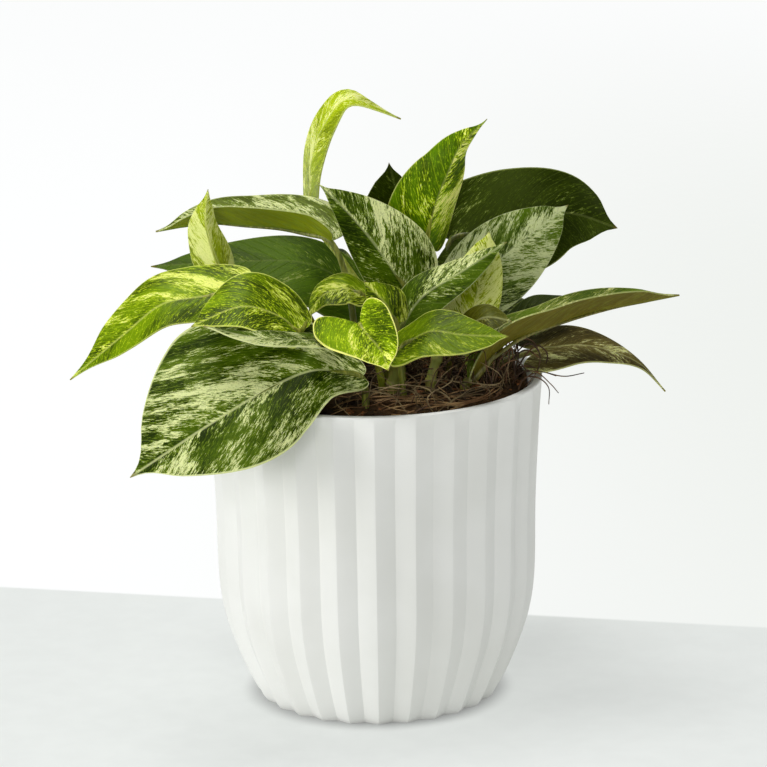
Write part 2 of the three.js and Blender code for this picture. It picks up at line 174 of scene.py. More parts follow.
def peat():
    """Damp peat: near-black brown with rusty fibre patches and dry paler grains."""
    finish = Finish("peat", specular_ior_level=0.25)
    place = finish.where()
    patches = finish.grain(place, 45.0, 4.0, 0.6)
    grains = finish.grain(place, 600.0, 3.0, 0.7)
    fibres = finish.grain(finish.stretch(place, 1.0, 4.0, 1.0), 260.0, 3.0, 0.6, 0.8)
    colour = finish.blend(patches.rise(0.38, 0.62), paint(36, 23, 8), paint(70, 46, 16))
    colour = finish.blend(fibres.rise(0.55, 0.7) * 0.6, colour, paint(114, 84, 40))
    colour = finish.blend(grains.rise(0.66, 0.78), colour, paint(140, 116, 62))
    return finish.set(colour, roughness=0.75 + grains * 0.25,
                      normal=finish.relief(grains + fibres, 0.6, 0.0008))


def root_skin(name, pale, brown):
    """Wiry roots: brown with paler lengths and fine rings."""
    finish = Finish(name, specular_ior_level=0.35)
    place = finish.where()
    lengths = finish.grain(place, 90.0, 2.0)
    fine = finish.grain(place, 1400.0, 2.0)
    colour = finish.blend(lengths.rise(0.4, 0.65), brown, pale)
    colour = finish.blend(fine.rise(0.5, 0.75) * 0.5, colour, paint(62, 40, 20))
    return finish.set(colour, roughness=0.5 + fine * 0.3, normal=finish.relief(fine, 0.4, 0.0002))


def bark_skin():
    """Bark chips: orange-brown with dark streaks."""
    finish = Finish("bark", specular_ior_level=0.3)
    place = finish.where()
    streaks = finish.grain(finish.stretch(place, 1.0, 5.0, 5.0), 180.0, 3.0, 0.6)
    colour = finish.blend(streaks.rise(0.35, 0.65), paint(62, 34, 14), paint(146, 92, 44))
    return finish.set(colour, roughness=0.6 + streaks * 0.3, normal=finish.relief(streaks, 0.6, 0.0006))


def stalk_skin(name, green, pale):
    """Leaf stalk: smooth green with long paler streaks and a soft gloss."""
    finish = Finish(name, specular_ior_level=0.45, subsurface_weight=0.15,
                    subsurface_scale=0.001)
    place = finish.where()
    streaks = finish.grain(finish.stretch(place, 1.0, 1.0, 0.12), 700.0, 3.0, 0.6)
    clouds = finish.grain(place, 60.0, 2.0)
    colour = finish.blend(streaks.rise(0.42, 0.62), green, pale)
    colour = finish.blend(clouds.rise(0.45, 0.7) * 0.5, colour, green)
    return finish.set(colour, roughness=0.38 + clouds * 0.15, normal=finish.relief(streaks, 0.25, 0.0003))


def cane_skin():
    """Vine stem: yellow-green skin, browning in patches, with fine lengthwise wrinkles."""
    finish = Finish("cane", specular_ior_level=0.4, subsurface_weight=0.1, subsurface_scale=0.001)
    place = finish.where()
    wrinkles = finish.grain(finish.stretch(place, 1.0, 1.0, 0.15), 900.0, 3.0, 0.6)
    patches = finish.grain(place, 130.0, 3.0, 0.6)
    colour = finish.blend(patches.rise(0.42, 0.62), paint(126, 132, 52), paint(150, 140, 70))
    colour = finish.blend(wrinkles.rise(0.55, 0.7) * 0.7, colour, paint(92, 70, 34))
    return finish.set(colour, roughness=0.45 + patches * 0.2, normal=finish.relief(wrinkles, 0.5, 0.0004))


# The side veins on the flat blade, in tenths of a metre: how far they lean and bend towards the tip on
# their way to the margin, and their distance along the midrib
VEIN_LEAN = 1.15
VEIN_BEND = 1.6
VEIN_STEP = 0.075
# Marbling: where a blade without cream has its threshold, and what a full cover or a plain half shifts
MARBLE_LEVEL = 0.6
COVER_SHIFT = 0.22
PLAIN_SHIFT = 0.3
TIP_BROWN = paint(104, 84, 30)


def vein_place(along, away):
    """Where the side vein through a place leaves the midrib."""
    return along - away * VEIN_LEAN - away * away * VEIN_BEND


def vein_line(vein, width):
    """1 on a side vein, 0 away from it."""
    return 1 - abs((vein % VEIN_STEP) - VEIN_STEP / 2).rise(0.0, width)


def leaf_top(name, seed, deep, green, sage, cream, cover=0.3, flecks=0.5, rim=0.5, rib=0.3, gloss=0.4,
             plain=(0.0, 0.0)):
    """Upper face of a blade. cover is the share of cream, in streaks that follow the side veins, one
    number or the left and the right half's. flecks, rim and rib are the strength of the small flecks,
    the pale margin and the pale midrib, gloss the roughness, and plain how far the left and the right
    half are free of cream."""
    finish = Finish(name, specular_ior_level=0.17, subsurface_weight=0.15, subsurface_scale=0.0012,
                    subsurface_radius=(0.8, 1.0, 0.1), specular_tint=(0.85, 1.0, 0.35, 1.0))
    along, across, _ = finish.map("flat").parts()
    away = abs(across)
    on_right = across > 0.0
    half = on_right * 3.7 + seed
    vein = vein_place(along, away)
    clouds = finish.grain(finish.vector(vein * 0.6, away, half), 5.0, 2.0)
    patches = finish.grain(finish.vector(vein * 0.8, away * 0.9, half), 6.5, 2.0, 0.5, 0.6)
    streaks = finish.grain(finish.vector(vein, away * 0.7, half + 9.0), 24.0, 5.0, 0.68, 0.7)
    fine = finish.grain(finish.vector(vein, away * 0.55, half + 19.0), 105.0, 3.0, 0.72, 0.4)
    speckle = finish.grain(finish.vector(along, across, seed), 120.0, 2.0, 0.6)

    left, right = cover if isinstance(cover, tuple) else (cover, cover)
    field = patches * 0.34 + streaks * 0.28 + fine * 0.38
    field = field + on_right * (COVER_SHIFT * (right - left))
    field = field - plain[0] * PLAIN_SHIFT - on_right * ((plain[1] - plain[0]) * PLAIN_SHIFT)
    middle = MARBLE_LEVEL - COVER_SHIFT * left
    sage_share = field.rise(middle - 0.055, middle - 0.01)
    cream_share = field.rise(middle - 0.004, middle + 0.01)
    fleck_share = (fine * 0.6 + speckle * 0.4).rise(0.55, 0.62) * flecks

    depth = (clouds * 0.62 + fine * 0.38).rise(0.4, 0.58)
    colour = finish.blend(depth, deep, green)
    colour = finish.blend(sage_share * 0.75, colour, sage)
    colour = finish.blend(fleck_share * (1 - cream_share), colour, sage)
    colour = finish.blend(cream_share, colour, cream)
    colour = finish.blend(fleck_share * cream_share * 0.8, colour, green)

    side_vein = vein_line(vein, 0.006)
    midrib = 1 - away.rise(0.002, 0.01)
    colour = finish.blend(side_vein * 0.22, colour, sage)
    colour = finish.blend(midrib * rib, colour, cream)
    reach, side, _ = finish.map("share").parts()
    edge = abs(side - 0.5).rise(0.484, 0.496)
    colour = finish.blend(edge * rim, colour, cream)
    colour = finish.blend(reach.rise(0.965, 0.99) * 0.7, colour, TIP_BROWN)

    pores = finish.grain(finish.vector(along, across, seed), 900.0, 2.0)
    return finish.set(colour, roughness=gloss - 0.08 + clouds * 0.12 + pores * 0.06,
                      normal=finish.relief(pores * 0.2 - side_vein * 0.9 + streaks * 0.5, 0.4, 0.0004))


def leaf_under(name, seed, colour, vein_colour):
    """Lower face of a blade: duller, faintly streaked, paler along the veins."""
    finish = Finish(name, specular_ior_level=0.2, subsurface_weight=0.25, subsurface_scale=0.0015,
                    subsurface_radius=(0.8, 1.0, 0.1), specular_tint=(0.9, 1.0, 0.4, 1.0))
    along, across, _ = finish.map("flat").parts()
    away = abs(across)
    vein = vein_place(along, away)
    clouds = finish.grain(finish.vector(vein, away * 0.5, seed), 12.0, 3.0)
    side_vein = vein_line(vein, 0.008)
    darker = tuple(part * 0.72 for part in colour[:3]) + (1.0,)
    streaks = finish.grain(finish.vector(vein, away * 0.6, seed + 4.0), 40.0, 4.0, 0.65, 0.4)
    shade = finish.blend(clouds.rise(0.35, 0.65), colour, darker)
    shade = finish.blend(streaks.rise(0.52, 0.6) * 0.55, shade, vein_colour)
    shade = finish.blend(streaks.rise(0.36, 0.46), darker, shade)
    shade = finish.blend(side_vein * 0.35, shade, vein_colour)
    shade = finish.blend((1 - away.rise(0.005, 0.02)) * 0.6, shade, vein_colour)
    pores = finish.grain(finish.vector(along, across, seed), 700.0, 2.0)
    return finish.set(shade, roughness=0.55 + clouds * 0.15,
                      normal=finish.relief(side_vein + pores * 0.3, 0.3, 0.0004))


# -------- workshop

def edit_all():
    bpy.ops.object.mode_set(mode="EDIT")
    bpy.ops.mesh.select_all(action="SELECT")


def join(pieces):
    bpy.ops.object.select_all(action="DESELECT")
    for piece in pieces:
        piece.select_set(True)
    bpy.context.view_layer.objects.active = pieces[0]
    bpy.ops.object.join()
    return bpy.context.object


def hand_over(piece, slot, *nodes):
    """Everything is part of the one root body; a piece may stand in for solids."""
    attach(piece, "root")
    if nodes:
        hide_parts(*nodes)
    return piece


class Path:
    """A smooth curve through points, read by its share of the length."""

    STEPS = 60
    NUDGE = 0.002

    def __init__(self, points, even=True):
        self.points = [Vector(point) for point in points]
        first, last = self.points[0] * 2 - self.points[1], self.points[-1] * 2 - self.points[-2]
        self.fence = [first, *self.points, last]
        self.even = even
        count = self.STEPS * (len(self.points) - 1)
        self.marks = [self.bend(i / self.STEPS) for i in range(count + 1)]
        self.reached = [0.0]
        for before, after in zip(self.marks, self.marks[1:]):
            self.reached.append(self.reached[-1] + (after - before).length)
        self.length = self.reached[-1]

    def bend(self, count):
        """The place after a count of points, which may lie between two."""
        at = min(int(count), len(self.points) - 2)
        t = count - at
        a, b, c, d = self.fence[at:at + 4]
        if self.even:
            start, end = (c - a) / 2, (d - b) / 2
        else:
            s, m, e = (max((q - p).length, 1e-9) ** 0.5 for p, q in ((a, b), (b, c), (c, d)))
            start = ((b - a) / s - (c - a) / (s + m) + (c - b) / m) * m
            end = ((c - b) / m - (d - b) / (m + e) + (d - c) / e) * m
        return (b * (2 * t ** 3 - 3 * t ** 2 + 1) + start * (t ** 3 - 2 * t ** 2 + t)
                + c * (3 * t ** 2 - 2 * t ** 3) + end * (t ** 3 - t ** 2))

    def at(self, share):
        """The place after a share of the length."""
        goal = min(max(share, 0.0), 1.0) * self.length
        low, high = 0, len(self.reached) - 1
        while high - low > 1:
            middle = (low + high) // 2
            low, high = (middle, high) if self.reached[middle] <= goal else (low, middle)
        span = self.reached[high] - self.reached[low]
        return self.marks[low].lerp(self.marks[high], (goal - self.reached[low]) / span)

    def heading(self, share):
        near = min(max(share, self.NUDGE), 1 - self.NUDGE)
        return (self.at(near + self.NUDGE) - self.at(near - self.NUDGE)).normalized()


def bar(name, path, radius_at, steps, roundness):
    """A round bar along a path: a path curve with a bevel, made a mesh."""
    bpy.ops.curve.primitive_nurbs_path_add()
    piece = bpy.context.object
    piece.name = name
    line = piece.data.splines[0]
    line.type = "POLY"
    if steps + 1 > len(line.points):
        line.points.add(steps + 1 - len(line.points))
    for i, point in enumerate(line.points):
        share = i / (len(line.points) - 1)
        point.co = (*path.at(share), 1.0)
        point.radius = radius_at(share) / MM
    piece.data.bevel_depth = MM
    piece.data.bevel_resolution = roundness
    piece.data.use_fill_caps = True
    piece.data.twist_mode = "MINIMUM"
    bpy.ops.object.convert(target="MESH")
    bpy.ops.object.shade_smooth()
    return bpy.context.object


def coat(piece, *materials):
    piece.data.materials.clear()
    for material in materials:
        piece.data.materials.append(material)


def turned(name, rows, corners):
    """A round body: a disc extruded and resized through rows of radius and height, in millimetres."""
    radius, height = rows[0]
    bpy.ops.mesh.primitive_circle_add(
        vertices=corners, radius=radius * MM, fill_type="NGON", location=(0, 0, height * MM)
    )
    piece = bpy.context.object
    piece.name = name
    bpy.ops.object.transform_apply()
    edit_all()
    for (radius, height), (next_radius, next_height) in zip(rows, rows[1:]):
        bpy.ops.mesh.extrude_region_move(
            TRANSFORM_OT_translate={"value": (0, 0, (next_height - height) * MM)}
        )
        scale = next_radius / radius
        bpy.ops.transform.resize(value=(scale, scale, 1), center_override=(0, 0, 0))
    bpy.ops.mesh.select_all(action="SELECT")
    bpy.ops.mesh.normals_make_consistent(inside=False)
    bpy.ops.object.mode_set(mode="OBJECT")
    return piece


# -------- camera, light, floor

CAMERA_TILT = 0.253
CAMERA_FAR = 1.858
CAMERA_AIM = Vector((0.00465, 0.0, 0.15516))
CAMERA_ROLL = 0.015
SENSOR_WIDTH = 36.0
# The lens and the picture, both in the picture's pixels
FOCAL_PIXELS, PICTURE_WIDTH = 3815, 767
VIEW_END = 30.0

bpy.ops.object.camera_add()
camera = bpy.context.object
gaze = Vector((0.0, math.cos(CAMERA_TILT), -math.sin(CAMERA_TILT)))
turn = Matrix.Rotation(math.pi / 2 - CAMERA_TILT, 4, "X") @ Matrix.Rotation(-CAMERA_ROLL, 4, "Z")
camera.matrix_world = Matrix.Translation(CAMERA_AIM - gaze * CAMERA_FAR) @ turn
camera.data.sensor_width = SENSOR_WIDTH
camera.data.lens = SENSOR_WIDTH * FOCAL_PIXELS / PICTURE_WIDTH
camera.data.clip_end = VIEW_END
bpy.context.scene.camera = camera
bpy.context.scene.view_settings.view_transform = "Standard"


def soft_box(name, place, aim, size, watts):
    bpy.ops.object.light_add(type="AREA", location=place)
    light = bpy.context.object
    light.name = name
    light.rotation_euler = (Vector(aim) - Vector(place)).to_track_quat("-Z", "Y").to_euler()
    light.data.size = size
    light.data.energy = watts


soft_box("left_box", (-1.92, -0.8, 0.62), (0, 0, 0.12), 0.8, 19)
soft_box("right_box", (1.7, -0.4, 0.9), (0, 0, 0.12), 0.8, 5)
soft_box("top_box", (-0.3, 0.2, 2.0), (0, 0, 0.1), 0.8, 22)
soft_box("front_box", (-0.7, -2.5, 1.1), (0, 0, 0.1), 1.0, 19)

SKY_COLOUR = (0.96, 0.98, 1.0, 1.0)
SKY_STRENGTH = 0.17

world = bpy.data.worlds.new("studio")
world.use_nodes = True
sky = world.node_tree.nodes["Background"].inputs
sky["Color"].default_value = SKY_COLOUR
sky["Strength"].default_value = SKY_STRENGTH
bpy.context.scene.world = world

# Metres on the floor: the slant and the start of the wall, where its painted light falls off to the right
# and far behind, and how far from the pot's middle the painted shadow under it reaches
FLOOR_SIZE = 12.0
WALL_SLANT = 0.222
WALL_START = (0.1255, 0.1295)
WALL_FALL = (-0.2, 0.32)
FAR_WALL = (0.6, 2.4)
FOOT_SHADE = (0.054, 0.069)


def backdrop_paper():
    """Grey paper floor with a painted shadow under the pot, and from a line behind it a bright glowing
    wall whose painted light dims to the right."""
    finish = Finish("floor_paper", specular_ior_level=0.2, emission_strength=1.0)
    place = finish.where()
    x, y, _ = place.parts()
    paper = finish.grain(place, 60.0, 3.0)
    wall = (y + x * WALL_SLANT).rise(*WALL_START)
    colour = finish.blend(paper.rise(0.3, 0.7), paint(150, 152, 151), paint(146, 148, 147))
    colour = finish.blend(wall, colour, paint(20, 20, 20))
    # Painted light: the wall's glow dims to the right and changes again far behind
    wall_glow = finish.blend(x.rise(*WALL_FALL), paint(253, 254, 254), paint(237, 240, 236))
    wall_glow = finish.blend(y.rise(*FAR_WALL), wall_glow, paint(250, 251, 251))
    # Painted shadow: the floor's glow drops round the pot's foot
    reach = (x * x + y * y) ** 0.5
    floor_glow_and_foot_shadow = finish.blend(reach.rise(*FOOT_SHADE), paint(120, 121, 120), paint(192, 195, 192))
    return finish.set(
        colour,
        emission_color=finish.blend(wall, floor_glow_and_foot_shadow, wall_glow),
        roughness=0.55 + paper * 0.2,
        normal=finish.relief(paper, 0.05, 0.001),
    )


bpy.ops.mesh.primitive_plane_add(size=FLOOR_SIZE)
floor = bpy.context.object
floor.name = "floor"
coat(floor, backdrop_paper())


# -------- pot

POT_HEIGHT = 160.0
POT_OUTLINE = [
    (58.5, 0.0), (61.2, 5.0), (64.6, 12.0), (69.5, 24.0), (75.0, 41.0), (78.0, 62.0),
    (78.7, 99.0), (80.4, 135.0), (81.3, 149.0), (81.8, 156.0), (82.0, POT_HEIGHT),
]
# Rounded edge of the foot, the outer and the inner half of the rounded lip, and the inside's bottom
FOOT_ROWS = [(56.5, 0.0), (57.6, 0.15), (58.4, 0.7)]
OUTER_LIP = [(81.9, 159.0), (81.7, 159.6), (81.2, 159.92), (80.6, 160.0)]
INNER_LIP = [(79.4, 160.0), (78.8, 159.9), (78.3, 159.6), (78.05, 159.0)]
BOTTOM_ROW = (52.0, 7.0)
INSIDE_HEIGHTS = (156.0, 150.0, 142.0, 120.0, 90.0, 62.0, 41.0, 24.0, 12.0)
SIDE_ROWS = 44
SIDE_LOW, SIDE_HIGH = 1.5, 158.9
POT_WALL = 4.0
RIB_COUNT = 26
RIB_DEPTH = 3.0
RIB_FADE = (POT_HEIGHT - 5.0, POT_HEIGHT - 1.0)
# Corners round the wall from one crest to the next, and how deep each lies, 0 on the crest's edge
PLEAT = [(0.0, 0.025), (0.03, 0.07), (0.25, 0.5), (0.47, 0.93),
         (0.5, 0.975), (0.53, 0.93), (0.75, 0.5), (0.97, 0.07)]
# The first crest lies at the front, this share of a turn from +X
FRONT = -0.25
POT_CREASE = 25
SAME_ROW = 0.02


def smooth_step(value, low, high):
    share = min(max((value - low) / (high - low), 0.0), 1.0)
    return share * share * (3 - 2 * share)


def rib_share(height):
    """How deep the pleats are at a height: 1 on the wall, 0 at the lip."""
    return 1 - smooth_step(height, *RIB_FADE)


def pot_rows():
    """Rows of radius and height up the outside from the foot to the lip, and down the inside."""
    side = Path([(radius, 0, height) for radius, height in POT_OUTLINE])
    places = [side.at(i / SIDE_ROWS) for i in range(1, SIDE_ROWS)]
    walls = [(place.x, place.z) for place in places if SIDE_LOW < place.z < SIDE_HIGH]
    marks = [side.at(i / 200) for i in range(201)]
    inside = []
    for height in INSIDE_HEIGHTS:
        radius = min(marks, key=lambda place: abs(place.z - height)).x
        inside.append((radius - POT_WALL - RIB_DEPTH * rib_share(height), height))
    return FOOT_ROWS + walls + OUTER_LIP, INNER_LIP + inside + [BOTTOM_ROW]


def make_pot():
    outside, inside = pot_rows()
    piece = turned("fluted_pot", outside + inside, RIB_COUNT * len(PLEAT))
    for corner in piece.data.vertices:
        x, y, z = corner.co
        radius = math.hypot(x, y)
        step = round((math.atan2(y, x) / TURN - FRONT) * RIB_COUNT * len(PLEAT))
        phase, hollow = PLEAT[step % len(PLEAT)]
        angle = ((step // len(PLEAT) + phase) / RIB_COUNT + FRONT) * TURN
        if any(abs(radius / MM - r) < SAME_ROW and abs(z / MM - h) < SAME_ROW for r, h in outside):
            radius -= RIB_DEPTH * MM * rib_share(z / MM) * hollow
        corner.co = Vector((radius * math.cos(angle), radius * math.sin(angle), z))
    bpy.ops.object.shade_smooth_by_angle(angle=math.radians(POT_CREASE))
    coat(piece, glazed_pot())
    return hand_over(piece, "pot", "pot")


make_pot()


# -------- soil and roots

SOIL_EDGE = 155.0
SOIL_RADIUS = 74.4
SOIL_HEAP = 5.0
SOIL_LEAN = 3.0
SOIL_SIDE = [(54.0, 7.5), (62.0, 24.0), (67.0, 41.0), (70.5, 70.0), (71.5, 100.0), (72.8, 135.0),
             (73.6, 147.0), (73.9, 151.0), (SOIL_RADIUS + 0.3, SOIL_EDGE - 1.5)]
SOIL_RINGS = 46
SOIL_CORNERS = 168
# Height in millimetres and closeness of the clods, from broad to fine
CLODS = [(1.6, 0.09), (1.1, 0.26), (0.6, 0.7)]


def soil_height(x, y):
    """Height of the soil at a place, in millimetres: low along the rim, heaped in the middle and right."""
    share = min(1.0, math.hypot(x, y) / SOIL_RADIUS)
    return SOIL_EDGE + SOIL_HEAP * (1 - share ** 3) + SOIL_LEAN * x / SOIL_RADIUS


def clods(x, y):
    """Unevenness of the soil, in millimetres."""
    place = Vector((x, y, 3.0))
    return sum(height * noise.noise(place * closeness) for height, closeness in CLODS)


def make_soil():
    rings = [(SOIL_RADIUS * (1 - i / SOIL_RINGS), SOIL_EDGE) for i in range(SOIL_RINGS)]
    piece = turned("potting_soil", SOIL_SIDE + rings, SOIL_CORNERS)
    for corner in piece.data.vertices:
        x, y, z = (part / MM for part in corner.co)
        if z > SOIL_EDGE - 0.5:
            corner.co.z = (soil_height(x, y) + clods(x, y)) * MM
    bpy.ops.object.shade_smooth()
    coat(piece, peat())
    return hand_over(piece, "soil", "soil")


# How far out crumbs lie, the room each needs to the edge, how far they tilt and how high they stand
CRUMB_REACH = 0.985
CRUMB_ROOM = 1.3
CRUMB_TILT = 0.6
CRUMB_PROUD = 0.35


def crumb_shape(chance, kind, fineness):
    """One crumb, modelled once: a ball or a chip knocked out of shape."""
    if kind == "crumb":
        bpy.ops.mesh.primitive_ico_sphere_add(subdivisions=fineness, radius=MM)
    else:
        bpy.ops.mesh.primitive_cube_add(size=2 * MM)
        edit_all()
        bpy.ops.mesh.bevel(offset=0.5 * MM, segments=1)
        bpy.ops.object.mode_set(mode="OBJECT")
    piece = bpy.context.object
    for corner in piece.data.vertices:
        corner.co *= chance.uniform(0.7, 1.25)
    return piece


def scatter(name, kind, fineness, count, sizes, flatness, material, seed, where):
    """Copies of a crumb, each turned and sized on its own, pressed into the soil's surface."""
    chance = random.Random(seed)
    pattern = crumb_shape(chance, kind, fineness)
    coat(pattern, material)
    copies = []
    while len(copies) < count:
        angle = chance.uniform(0, TURN)
        reach = SOIL_RADIUS * math.sqrt(chance.random()) * CRUMB_REACH
        x, y = reach * math.cos(angle), reach * math.sin(angle)
        if not where(x, y, chance):
            continue
        size = chance.uniform(*sizes)
        if size * CRUMB_ROOM > SOIL_RADIUS - reach:
            continue
        copy = pattern.copy()
        copy.data = pattern.data.copy()
        shape = Matrix.Diagonal((size * chance.uniform(0.8, 1.5), size, size * flatness, 1.0))
        tumble = (Matrix.Rotation(chance.uniform(0, TURN), 4, "Z")
                  @ Matrix.Rotation(chance.uniform(-CRUMB_TILT, CRUMB_TILT), 4, "X"))
        height = soil_height(x, y) + clods(x, y) + size * flatness * CRUMB_PROUD
        copy.data.transform(Matrix.Translation(Vector((x, y, height)) * MM) @ tumble @ shape)
        bpy.context.collection.objects.link(copy)
        copies.append(copy)
    bpy.data.objects.remove(pattern)
    piece = join(copies)
    piece.name = name
    if kind == "crumb":
        bpy.ops.object.shade_smooth()
    return hand_over(piece, "soil")


# Millimetres between a root's points, its distance to the rim and how deep its ends go, and how sharply
# it turns at the rim, in radians
ROOT_STEP = 7
ROOT_ROOM = 4
ROOT_DEPTH = 2.5
ROOT_TURN = 0.5


def root(chance, start, heading, length, lift, wander):
    """A root on the soil: a wandering line whose two ends run into the ground."""
    points = []
    x, y = start
    count = max(5, int(length / ROOT_STEP))
    for i in range(count + 1):
        bow = math.sin(math.pi * (i / count))
        over = lift * bow ** 0.6 - ROOT_DEPTH * (1 - bow ** 0.5)
        points.append(Vector((x, y, soil_height(x, y) + clods(x, y) * 0.6 + over)) * MM)
        x += length / count * math.cos(heading)
        y += length / count * math.sin(heading)
        reach, limit = math.hypot(x, y), SOIL_RADIUS - ROOT_ROOM
        if reach > limit:
            x, y = x * limit / reach, y * limit / reach
            heading += ROOT_TURN
        heading += chance.uniform(-wander, wander)
    return Path(points)


def hand_roots(name, strands, material):
    piece = join(strands)
    piece.name = name
    coat(piece, material)
    return hand_over(piece, "soil")


def make_roots(name, count, radii, lengths, lift, wander, material, seed,
               ground=(-70, 70, -70, 70), headings=(0, TURN)):
    """Roots that start at random places of a stretch of ground: x from and to, y from and to. lift is how
    high they bow over the soil and wander how far each step may turn, in radians."""
    chance = random.Random(seed)
    strands = []
    while len(strands) < count:
        start = (chance.uniform(*ground[:2]), chance.uniform(*ground[2:]))
        if math.hypot(*start) > SOIL_RADIUS - ROOT_ROOM - 1:
            continue
        radius = chance.uniform(*radii) * MM
        path = root(chance, start, chance.uniform(*headings), chance.uniform(*lengths),
                    chance.uniform(*lift), wander)
        strands.append(bar(name, path, lambda share, r=radius: r * (1 - 0.5 * share),
                           steps=26, roundness=0))
    return hand_roots(name, strands, material)


def anywhere(x, y, chance):
    return True


def mostly_right(x, y, chance):
    return chance.random() < 0.25 or (x > 20 and y > -40)


make_soil()
dark_crumb, rusty_crumb = peat(), bark_skin()
scatter("soil_crumbs", "crumb", fineness=1, count=900, sizes=(0.5, 1.5), flatness=0.8,
        material=dark_crumb, seed=3, where=anywhere)
scatter("soil_lumps", "crumb", fineness=2, count=120, sizes=(1.5, 3.2), flatness=0.6,
        material=dark_crumb, seed=4, where=anywhere)
scatter("bark_chips", "chip", fineness=1, count=160, sizes=(0.8, 2.2), flatness=0.35,
        material=rusty_crumb, seed=5, where=mostly_right)
tan_root = root_skin("tan_root", paint(190, 154, 104), paint(118, 84, 48))
dark_root = root_skin("dark_root", paint(112, 80, 48), paint(58, 38, 22))
grey_root = root_skin("grey_root", paint(152, 132, 94), paint(88, 72, 42))
make_roots("fine_roots", count=60, radii=(0.18, 0.4), lengths=(30, 80), lift=(0.8, 3.5), wander=0.5,
           material=tan_root, seed=21)
make_roots("wiry_roots", count=26, radii=(0.4, 0.9), lengths=(40, 95), lift=(1.0, 4.5), wander=0.4,
           material=dark_root, seed=22)
make_roots("tangled_roots", count=64, radii=(0.2, 0.42), lengths=(26, 60), lift=(4, 15), wander=0.75,
           material=grey_root, seed=23, ground=(0, 70, -64, 6))
make_roots("standing_roots", count=34, radii=(0.3, 0.5), lengths=(16, 44), lift=(8, 24), wander=0.9,
           material=dark_root, seed=24, ground=(28, 70, -40, 4))
make_roots("front_strands", count=14, radii=(0.3, 0.55), lengths=(44, 84), lift=(1.0, 4.0), wander=0.16,
           material=tan_root, seed=25, ground=(-26, 34, -70, -50), headings=(-0.25, 0.4))


# Millimetres: the loops that rise from the soil at the right and hang over the rim
RIM_ROOTS = [
    [(62, -14, 155), (66, -13, 163), (74, -12, 166), (82, -12, 163), (92, -10, 160), (102, -8, 161)],
    [(64, -20, 154), (70, -20, 164), (78, -20, 165), (85, -20, 159), (89, -19, 154)],
    [(60, -4, 156), (66, -4, 166), (74, -4, 172), (82, -5, 167), (91, -6, 164), (99, -4, 168),
     (105, -3, 167)],
    [(66, -10, 155), (72, -8, 168), (79, -8, 175), (84, -9, 171), (82, -10, 164), (75, -12, 161),
     (68, -14, 155)],
    [(58, -16, 155), (66, -18, 170), (74, -16, 178), (80, -14, 173), (79, -14, 164), (72, -14, 155)],
    [(68, -26, 154), (72, -25, 163), (79, -24, 163), (84, -24, 158), (84, -25, 150)],
    [(56, -30, 155), (60, -28, 168), (68, -24, 172), (74, -20, 166), (82, -17, 164), (88, -17, 162)],
    [(60, 4, 156), (67, 3, 172), (76, 0, 176), (81, -3, 168), (77, -6, 161), (69, -6, 155)],
]
hand_roots("rim_roots", [
    bar("strand", Path([Vector(point) * MM for point in points]),
        lambda share: (0.5 - 0.28 * share) * MM, steps=40, roundness=1) for points in RIM_ROOTS
], dark_root)


# -------- leaves

# Display colours of the blade's upper face, its lower face and the stalk
TONE_PARTS = ("deep", "green", "sage", "cream", "under", "stem", "stem_pale")
TONES = {
    "pale": [(112, 128, 2), (158, 178, 8), (192, 206, 50), (222, 228, 138), (166, 182, 30),
             (150, 162, 44), (196, 202, 104)],
    "bright": [(44, 62, 0), (104, 132, 0), (176, 196, 30), (222, 228, 116), (128, 138, 4),
               (104, 112, 18), (152, 154, 58)],
    "marbled": [(20, 36, 0), (64, 88, 2), (114, 136, 34), (214, 220, 156), (112, 122, 6),
                (92, 100, 18), (138, 142, 56)],
    # The dark tone is a darker green that also carries painted shade, for the leaves that hang in shade at
    # the back
    "dark": [(24, 34, 0), (38, 50, 2), (70, 86, 18), (150, 160, 90), (58, 66, 4),
             (56, 62, 8), (92, 94, 30)],
    "olive": [(44, 42, 0), (66, 68, 4), (112, 112, 34), (192, 194, 130), (84, 76, 8),
              (88, 86, 20), (128, 122, 54)],
}
